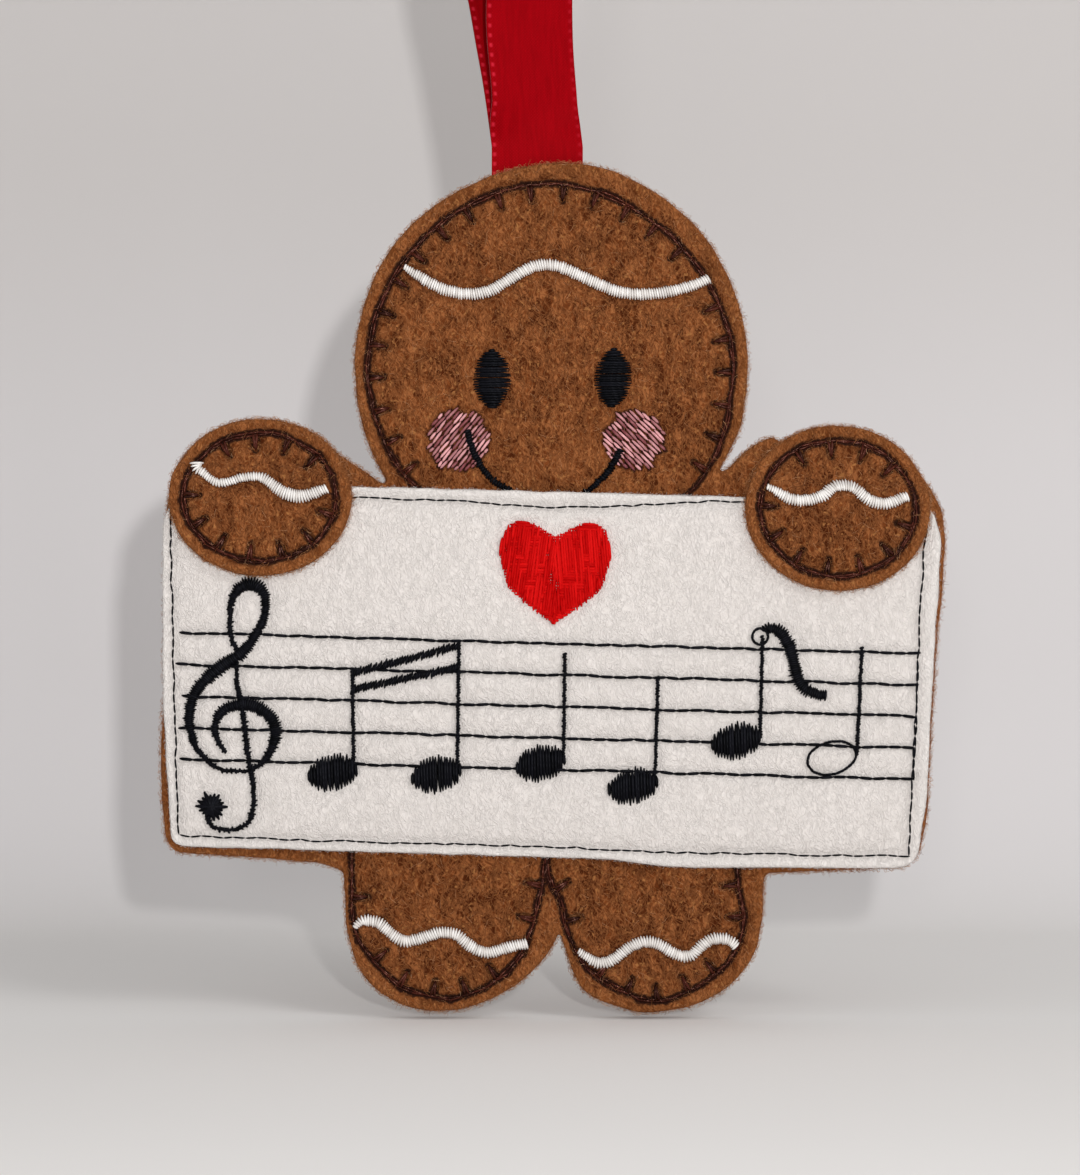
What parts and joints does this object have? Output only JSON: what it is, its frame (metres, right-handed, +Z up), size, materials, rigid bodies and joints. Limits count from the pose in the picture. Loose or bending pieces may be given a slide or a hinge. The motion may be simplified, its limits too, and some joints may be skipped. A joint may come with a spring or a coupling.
{
  "type": "hanging felt ornament",
  "caption": "Gingerbread figure of brown felt holding a white sign with stitched music and a heart, hung on a loop of red satin ribbon",
  "frame": {"origin": "The hang point: the inner top of the ribbon loop, where a hook or twig bears", "axes": "+Z up, -Y towards the side with the face and the sign, +X to the right as seen from the front"},
  "size_m": [0.0857, 0.0142, 0.1652],
  "materials": {
    "brown_felt": "matt wool felt, mottled",
    "white_felt": "matt wool felt, off white",
    "stabiliser": "matt nonwoven sheet",
    "red_satin": "glossy satin weave",
    "brown_thread": "glossy thread",
    "black_thread": "glossy thread",
    "white_thread": "glossy thread",
    "pink_thread": "glossy thread",
    "red_thread": "glossy thread"
  },
  "bodies": {
    "ribbon": {"ribbon_loop": "red_satin"},
    "figure": {"back_panel": "brown_felt", "stabiliser_sheet": "stabiliser", "front_panel": "brown_felt", "ribbon_ends": "red_satin", "back_seam": "brown_thread", "head_seam": "brown_thread", "leg_seam": "brown_thread", "head_icing": "white_thread", "left_foot_icing": "white_thread", "right_foot_icing": "white_thread", "left_eye": "black_thread", "right_eye": "black_thread", "left_cheek": "pink_thread", "right_cheek": "pink_thread", "smile": "black_thread", "sign_panel": "white_felt", "sign_border_seam": "black_thread", "staff_line_1": "black_thread", "staff_line_2": "black_thread", "staff_line_3": "black_thread", "staff_line_4": "black_thread", "staff_line_5": "black_thread", "treble_clef": "black_thread", "beamed_notes": "black_thread", "third_note": "black_thread", "fourth_note": "black_thread", "eighth_note": "black_thread", "half_note": "black_thread", "heart": "red_thread", "left_hand_patch": "brown_felt", "right_hand_patch": "brown_felt", "left_hand_seam": "brown_thread", "right_hand_seam": "brown_thread", "left_hand_icing": "white_thread", "right_hand_icing": "white_thread"}
  },
  "joints": [
    {"name": "swing", "type": "hinge", "parent": "ribbon", "child": "figure", "pos_m": [-0.0016, 0.0003, -0.07], "axis": [1, 0, 0], "range_deg": [-90, 90]}
  ]
}
